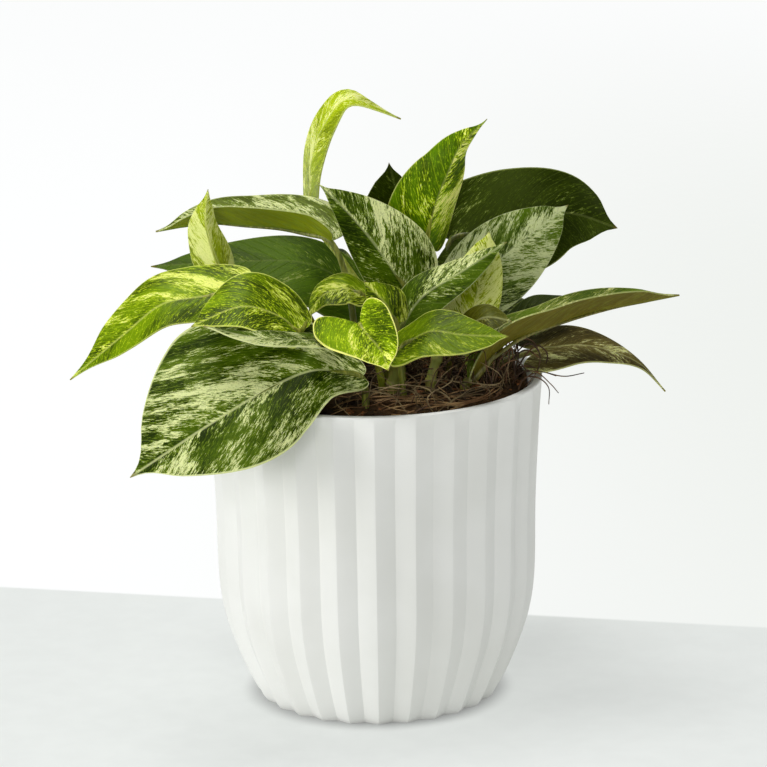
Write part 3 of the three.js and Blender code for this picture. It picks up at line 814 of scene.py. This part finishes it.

# Millimetres. foot is where the stalk enters the soil and stalk what it passes; rib is the midrib from
# base to tip; right and left are the widest points of the margins, seen from the base towards the tip.
# rise and fall shape the margin before and after its widest place, lobe draws the margin back beside the
# stalk, taper is the stretch in which the tip narrows, curl bends the halves up, in degrees, thick is the
# stalk's radius at its foot, light is painted light and shade: it brightens or darkens the tone for how
# brightly that leaf is lit, and look and under change the finish.
LEAF_DEFAULTS = dict(stalk=[], rise=0.5, fall=1.0, lobe=0.2, taper=(0.84, 0.97), curl=0, thick=2.0,
                     light=1.0, under=None)
LEAVES = [
    dict(name="leaf_hook", tone="pale", foot=(4, 27), stalk=[(1, 29, 184), (-13, 34, 207)],
         rib=[(-30, 42, 230), (-29, 36, 259), (-21, 30, 280), (-9, 26, 291), (15, 20, 282)],
         right=(-23, 24, 262), left=(-35, 50, 253), curl=20, lobe=0.1, light=1.08,
         look=dict(cover=(0.4, 0.2))),
    dict(name="leaf_flag", tone="bright", foot=(20, 26), stalk=[(26, 27, 198)],
         rib=[(27, 26, 221), (32, 22, 241), (38, 20, 256), (44, 22, 268), (57, 28, 280)],
         right=(43, 38, 240), left=(9, 26, 242), curl=-20, fall=1.5, light=1.8,
         look=dict(cover=(0.0, 0.3), flecks=0.25, rib=0.15, green=paint(96, 136, 0))),
    dict(name="leaf_shade_mid", tone="dark", foot=(10, 48),
         rib=[(20, 60, 201), (15, 58, 227), (9, 54, 254)],
         right=(26, 62, 226), left=(-10, 58, 227), light=1.3, look=dict(cover=0.05, rib=0.1)),
    dict(name="leaf_dark_right", tone="dark", foot=(34, 38), stalk=[(37, 42, 192)],
         rib=[(39, 46, 216), (71, 48, 224), (97, 50, 228), (122, 54, 219)],
         right=(65, 38, 196), left=(68, 58, 250), lobe=0.22, fall=0.9, light=1.45,
         look=dict(cover=(0.1, -0.1), flecks=0.6, rib=0.1)),
    dict(name="leaf_grey_right", tone="marbled", foot=(38, 14),
         rib=[(47, 16, 199), (68, 18, 217), (84, 20, 229), (96, 22, 238)],
         right=(78, 12, 199), left=(52, 26, 227), light=1.12,
         look=dict(cover=0.46, cream=paint(184, 192, 140), sage=paint(120, 136, 66))),
    dict(name="leaf_cream_young", tone="pale", foot=(46, -2),
         rib=[(47, 4, 185), (53, 4, 208), (57, 6, 229)],
         right=(65, 8, 205), left=(36, 6, 200), curl=-20, light=1.15, look=dict(cover=0.5)),
    dict(name="leaf_folded_mid", tone="marbled", foot=(12, -22),
         rib=[(11, -22, 183), (23, -20, 202), (42, -14, 213), (65, -6, 226)],
         right=(35, -24, 199), left=(25, -4, 213), look=dict(cover=(0.34, 0.1), flecks=0.7)),
    dict(name="leaf_centre_dark", tone="marbled", foot=(6, 8),
         rib=[(17, 10, 198), (6, 5, 217), (-9, 1, 238), (-26, -6, 257)],
         right=(28, 16, 223), left=(-7, 6, 210), lobe=0.12, fall=1.4, light=1.3,
         look=dict(cover=(0.14, 0.42))),
    dict(name="leaf_top_left", tone="marbled", foot=(-8, 4), stalk=[(-12, 4, 204)],
         rib=[(-20, 2, 226), (-30, 8, 229), (-44, 12, 231), (-60, 14, 232), (-80, 16, 233),
              (-105, 16, 229)],
         right=(-50, 34, 244), left=(-48, -2, 244), lobe=0.08, under=paint(134, 146, 10),
         look=dict(cover=0.36, deep=paint(60, 72, 2), green=paint(92, 108, 6))),
    dict(name="leaf_shade_left", tone="dark", foot=(-10, 48),
         rib=[(-3, 52, 187), (-31, 54, 203), (-66, 54, 205), (-110, 50, 204)],
         right=(-37, 70, 214), left=(-36, 34, 187), light=0.82,
         look=dict(cover=0.0, gloss=0.46, rib=0.15, deep=paint(44, 68, 0), green=paint(66, 94, 0),
                   sage=paint(92, 116, 14))),
    dict(name="leaf_spike_left", tone="pale", foot=(-28, 2), stalk=[(-42, 4, 182)],
         rib=[(-68, -3, 204), (-75, -7, 222), (-79, -9, 239), (-78, -5, 254)],
         right=(-68, 3, 220), left=(-89, 5, 223), lobe=0, look=dict(cover=0.45)),
    dict(name="leaf_drooping_left", tone="bright", foot=(-30, -16), stalk=[(-42, -22, 190)],
         rib=[(-68, -26, 207), (-85, -28, 206), (-101, -30, 203), (-118, -32, 190), (-145, -34, 168)],
         right=(-95, -11, 217), left=(-93, -40, 196), fall=1.1, light=1.15, taper=(0.7, 0.95),
         look=dict(cover=0.26, flecks=0.8, plain=(0.9, 0.0))),
    dict(name="leaf_heart_left", tone="bright", foot=(-24, -24), stalk=[(-30, -34, 197)],
         rib=[(-35, -54, 195), (-45, -54, 203), (-62, -57, 208), (-85, -62, 200)],
         right=(-54, -34, 219), left=(-56, -69, 199), lobe=0.12, light=1.25,
         look=dict(cover=0.1, flecks=1.0, rim=0.7)),
    dict(name="leaf_striped_small", tone="bright", foot=(-8, -18),
         rib=[(-5, -22, 205), (-13, -22, 208), (-24, -24, 205), (-31, -26, 195)],
         right=(-19, -10, 212), left=(-15, -30, 202), light=0.85, look=dict(cover=0.24, rim=0.8)),
    dict(name="leaf_front_heart", tone="bright", foot=(4, -34), stalk=[(-1, -44, 187)],
         rib=[(-6, -58, 199), (-2, -69, 196), (4, -80, 191), (7, -88, 184)],
         right=(-25, -76, 196), left=(5, -60, 210), lobe=0.35, light=1.5,
         look=dict(cover=0.12, flecks=1.0, rim=1.0, rib=0.2)),
    dict(name="leaf_curled_mid", tone="bright", foot=(6, -24),
         rib=[(11, -30, 193), (6, -32, 203), (-4, -30, 213)],
         right=(14, -22, 206), left=(-1, -34, 198), look=dict(cover=0.2)),
    dict(name="leaf_green_bit", tone="bright", foot=(14, -8),
         rib=[(10, -4, 190), (17, -2, 196), (25, 0, 202)],
         right=(20, -8, 194), left=(11, 2, 200), look=dict(cover=0.1)),
    dict(name="leaf_rim_left", tone="marbled", foot=(-12, -28), stalk=[(-13, -34, 191)],
         rib=[(-20, -52, 190), (-38, -78, 197), (-59, -86, 201), (-78, -86, 206)],
         right=(-38, -68, 198), left=(-37, -94, 197), lobe=0.06, look=dict(cover=0.34, rim=0.9)),
    dict(name="leaf_big_front", tone="marbled", foot=(-4, -54),
         rib=[(-6, -56, 173), (-27, -62, 178), (-47, -68, 172), (-74, -80, 159), (-114, -90, 135)],
         right=(-89, -46, 194), left=(-47, -98, 146), lobe=0.1, rise=1.3, fall=1.3, light=1.05,
         look=dict(cover=0.3, rim=0.9, rib=0.55)),
    dict(name="leaf_front_right", tone="bright", foot=(14, -44),
         rib=[(14, -46, 185), (27, -50, 193), (43, -54, 192), (64, -54, 191)],
         right=(31, -64, 185), left=(30, -38, 201), light=0.86,
         look=dict(cover=0.06, flecks=0.7, rim=0.8)),
    dict(name="leaf_round_right", tone="olive", foot=(36, -16),
         rib=[(41, -28, 186), (53, -32, 195), (66, -36, 194)],
         right=(55, -44, 188), left=(53, -22, 201), light=1.1, look=dict(cover=0.1)),
    dict(name="leaf_long_right", tone="olive", foot=(44, -30),
         rib=[(46, -30, 163), (55, -28, 174), (66, -25, 182), (84, -21, 187), (104, -16, 193),
              (148, -8, 199)],
         right=(82, -34, 198), left=(96, 3, 199), lobe=0, rise=0.6, fall=0.8, thick=3.2,
         under=paint(106, 96, 22),
         look=dict(cover=0.24, deep=paint(54, 74, 4), green=paint(84, 108, 12), sage=paint(128, 136, 54))),
    dict(name="leaf_dark_wedge", tone="dark", foot=(50, 8),
         rib=[(68, 14, 179), (82, 18, 188), (98, 22, 192)],
         right=(89, 10, 185), left=(85, 32, 196), light=1.15, look=dict(cover=0.0)),
    dict(name="leaf_low_right", tone="olive", foot=(57, -5),
         rib=[(80, 2, 170), (98, 4, 172), (115, 4, 169), (130, 2, 162), (142, 0, 149)],
         right=(93, -14, 166), left=(95, 22, 177), fall=1.6, taper=(0.5, 0.86), light=1.15,
         look=dict(cover=0.2, deep=paint(62, 52, 16), green=paint(92, 82, 34), sage=paint(128, 118, 66))),
    dict(name="leaf_back_left", tone="dark", foot=(-20, 56),
         rib=[(-18, 60, 190), (-32, 98, 202), (-50, 138, 170)],
         right=(-20, 112, 204), left=(-52, 88, 192), lobe=0.1, look=dict(cover=0.15)),
    dict(name="leaf_back_right", tone="marbled", foot=(32, 60),
         rib=[(34, 62, 178), (42, 98, 182), (52, 140, 150)],
         right=(62, 90, 174), left=(22, 108, 184), lobe=0.1, look=dict(cover=0.35)),
    dict(name="leaf_back_mid", tone="dark", foot=(0, 70),
         rib=[(-2, 78, 172), (0, 108, 176), (4, 150, 136)],
         right=(20, 108, 170), left=(-22, 106, 172), lobe=0.1, look=dict(cover=0.1)),
    dict(name="leaf_back_low_left", tone="marbled", foot=(-36, 40),
         rib=[(-38, 46, 173), (-64, 82, 175), (-90, 102, 150)],
         right=(-52, 96, 175), left=(-79, 66, 170), lobe=0.1, look=dict(cover=0.3)),
    dict(name="leaf_back_low_right", tone="dark", foot=(52, 38),
         rib=[(54, 46, 178), (76, 78, 178), (88, 110, 156)],
         right=(92, 66, 168), left=(58, 92, 180), look=dict(cover=0.15)),
]

# Millimetres, but for the margin's wave and the tip's narrowing, which are shares of the half width
BLADE_THICKNESS = 0.8
MARGIN_WAVE = 0.05
WAVES_ALONG = 1.7
# The waves of one leaf and the next, and of its two halves, start at other places
LEAF_PHASE, HALF_PHASE = 0.37, 1.3
ROW_CROWDING = 1.6
# The lobes beside the stalk: how much sooner than the blade they are widest, and how far out they begin
LOBE_EARLY, LOBE_OUT = 9, 1.6
TIP_NARROWING = 0.5
GUTTER_DEPTH = 0.25
GUTTER_WIDTH = 1.1
SWELLING = 0.3
# Millimetres in one unit of the flat map, and within which corners become one
FLAT_UNIT = 100
SAME_CORNER = 0.02
BLADE_CREASE = 50
# Blades with a longer midrib get the finer grid of rows and columns
LONG_BLADE = 60
FINE_GRID, COARSE_GRID = (56, 28), (40, 20)
# Millimetres over the pot's foot that a stalk or vine passes as it leaves the soil
ROOTED = (147, 155, 163)
# Where along the blade the stalk ends and the ridge under it runs, and how far the middle of each lies
# under the blade there; the stalk's radius at that end
STALK_END, STALK_SUNK, STALK_TOP = 0.16, 0.9, 1.25
RIDGE_SHARES = (0.12, 0.3, 0.5, 0.7, 0.86)
RIDGE_SUNK = (1.0, 0.8, 0.6, 0.4, 0.2)


def width_share(along, rise, fall):
    """Half width of a blade along its length, as a share of the widest."""
    if not 0 < along < 1:
        return 0.0
    widest = rise / (rise + fall)
    return (along / widest) ** rise * ((1 - along) / (1 - widest)) ** fall


def side_on(direction, heading):
    """The part of a direction that is square to a heading."""
    return direction - heading * direction.dot(heading)


class Blade:
    """The surface of one leaf blade, in millimetres."""

    def __init__(self, leaf, number):
        self.number = number
        self.rise, self.fall = leaf["rise"], leaf["fall"]
        self.lobe, self.taper = leaf["lobe"], leaf["taper"]
        self.rib = Path(leaf["rib"])
        widest = self.rise / (self.rise + self.fall)
        centre, heading = self.rib.at(widest), self.rib.heading(widest)
        self.halves = [side_on(Vector(leaf[key]) - centre, heading) for key in ("left", "right")]
        self.span = self.halves[1] - self.halves[0]
        sideways = self.span.normalized()
        up = sideways.cross(heading)
        self.tilts = [math.atan2(half.dot(up), sign * half.dot(sideways))
                      for half, sign in zip(self.halves, (-1, 1))]
        self.curl = math.radians(leaf["curl"])

    def at(self, along, side):
        """Place, facing and flat place (along, across) of a point of the blade."""
        backward = self.lobe * width_share(along, self.rise, LOBE_EARLY * self.rise)
        backward *= abs(side) ** LOBE_OUT
        share = along - backward
        on_rib = max(0.0, share)
        heading = self.rib.heading(on_rib)
        sideways = side_on(self.span, heading).normalized()
        up = sideways.cross(heading)
        sign, half = (-1, 0) if side < 0 else (1, 1)
        half_width = self.halves[half].length * width_share(along, self.rise, self.fall)
        half_width *= 1 - TIP_NARROWING * smooth_step(along, *self.taper)
        out = abs(side) * half_width
        tilt_at_rib = self.tilts[half] - self.curl / 2
        tilt = tilt_at_rib + self.curl * abs(side)
        mean_tilt = (tilt_at_rib + tilt) / 2
        phase = TURN * LEAF_PHASE * self.number + (HALF_PHASE if side < 0 else 0)
        wave = math.sin(TURN * WAVES_ALONG * along + phase)
        facing = up * math.cos(tilt) - sideways * (sign * math.sin(tilt))
        place = self.rib.at(on_rib) + heading * (min(0.0, share) * self.rib.length)
        place += sideways * (sign * out * math.cos(mean_tilt)) + up * (out * math.sin(mean_tilt))
        lift = MARGIN_WAVE * half_width * side * side * wave
        lift += self.relief(share * self.rib.length, out, half_width)
        return place + facing * lift, facing, (share * self.rib.length, sign * out)

    def relief(self, along, out, half_width):
        """Gutter along the midrib and low swellings between the side veins."""
        gutter = -GUTTER_DEPTH * math.exp(-(out / GUTTER_WIDTH) ** 2) * min(1.0, half_width / 8)
        vein = vein_place(along / FLAT_UNIT, out / FLAT_UNIT)
        swelling = abs(math.sin(math.pi * (vein / VEIN_STEP + 0.5)))
        fade = min(1.0, out / 4) * min(1.0, max(0.0, half_width - out) / 5)
        return gutter + SWELLING * swelling * fade


def make_blade(leaf, number, top, under):
    """A grid laid on the blade's surface and thickened; its flat maps carry the marbling."""
    blade = Blade(leaf, number)
    rows, columns = FINE_GRID if blade.rib.length > LONG_BLADE else COARSE_GRID
    bpy.ops.mesh.primitive_grid_add(x_subdivisions=columns, y_subdivisions=rows, size=2)
    piece = bpy.context.object
    flats, shares = [], []
    for corner in piece.data.vertices:
        side, along = corner.co.x, ((corner.co.y + 1) / 2) ** ROW_CROWDING
        place, _, flat = blade.at(along, side)
        corner.co = place * MM
        flats.append((flat[0] / FLAT_UNIT, flat[1] / FLAT_UNIT))
        shares.append((along, 0.5 + side / 2))
    for name, values in (("flat", flats), ("share", shares)):
        layer = piece.data.uv_layers.new(name=name)
        for loop in piece.data.loops:
            layer.data[loop.index].uv = values[loop.vertex_index]
    edit_all()
    bpy.ops.mesh.remove_doubles(threshold=SAME_CORNER * MM)
    bpy.ops.object.mode_set(mode="OBJECT")
    coat(piece, top, under)
    wall = piece.modifiers.new("thickness", "SOLIDIFY")
    wall.thickness = BLADE_THICKNESS * MM
    wall.offset = 0.0
    wall.material_offset = 1
    bpy.ops.object.modifier_apply(modifier=wall.name)
    bpy.ops.object.shade_smooth_by_angle(angle=math.radians(BLADE_CREASE))
    return piece, blade


def from_soil(foot, points):
    """A path in metres from below the soil's surface at foot through points in millimetres."""
    points = [(*foot, height) for height in ROOTED] + points
    return Path([Vector(point) * MM for point in points], even=False)


def make_leaf(leaf, number):
    name = leaf["name"]
    seed = number * 1.37
    tone = {part: paint(*shade) for part, shade in zip(TONE_PARTS, TONES[leaf["tone"]])}
    # Painted light and shade: each leaf's colours are brightened or darkened by its light, for how
    # brightly that leaf is lit
    lit_and_shaded_paints = {part: tuple(min(1.0, shade * leaf["light"]) for shade in colour[:3]) + (1.0,)
              for part, colour in tone.items()}
    under_paint = leaf["under"] or lit_and_shaded_paints["under"]
    under = leaf_under(name + "_under", seed, under_paint, lit_and_shaded_paints["sage"])
    skin = stalk_skin(name + "_stalk", lit_and_shaded_paints["stem"], lit_and_shaded_paints["stem_pale"])
    face = {part: lit_and_shaded_paints[part] for part in TONE_PARTS[:4]}
    top = leaf_top(name + "_top", seed, **{**face, **leaf["look"]})
    piece, blade = make_blade(leaf, number, top, under)
    end, facing, _ = blade.at(STALK_END, 0.0)
    thick = leaf["thick"]
    path = from_soil(leaf["foot"], [*leaf["stalk"], leaf["rib"][0], end - facing * STALK_SUNK])
    stalk = bar("stalk", path, lambda share: (thick + (STALK_TOP - thick) * share) * MM,
                steps=30, roundness=3)
    crest = [blade.at(share, 0.0)[:2] for share in RIDGE_SHARES]
    ridge_path = Path([(place - facing * sunk) * MM for (place, facing), sunk in zip(crest, RIDGE_SUNK)])
    ridge = bar("ridge", ridge_path, lambda share: (1.1 - 0.8 * share) * MM, steps=24, roundness=2)
    for part in (stalk, ridge):
        coat(part, skin)
    piece = join([piece, stalk, ridge])
    piece.name = name + "_grown"
    return hand_over(piece, "leaf_" + leaf["tone"], name)


for index, entry in enumerate(LEAVES):
    make_leaf({**LEAF_DEFAULTS, **entry}, index)


# -------- vine stems

# Name, foot, what the stem passes, and its radius, in millimetres
VINES = [
    ("vine_front", (9, -36), [(10, -37, 172), (7, -39, 181)], 2.7),
    ("vine_right", (27, -35), [(29, -34, 172), (33, -33, 182)], 2.3),
    ("vine_left", (-14, -8), [(-17, -10, 172), (-24, -12, 186)], 2.4),
    ("vine_back", (16, 34), [(15, 36, 175), (20, 40, 192)], 2.5),
]
NODE_RINGS = (0.5, 0.8)
RING_LENGTH = 0.035
RING_HEIGHT = 0.3
ROUNDED_END = 0.04


def make_vine(name, foot, points, radius, skin):
    def thickness(share):
        rings = max(math.exp(-((share - ring) / RING_LENGTH) ** 2) for ring in NODE_RINGS)
        closing = min(1.0, (1.0 - share) / ROUNDED_END) ** 0.5
        return radius * (1 + RING_HEIGHT * rings) * MM * max(0.2, closing)

    piece = bar(name + "_grown", from_soil(foot, points), thickness, steps=48, roundness=4)
    coat(piece, skin)
    return hand_over(piece, "vine", name)


cane = cane_skin()
for vine in VINES:
    make_vine(*vine, cane)
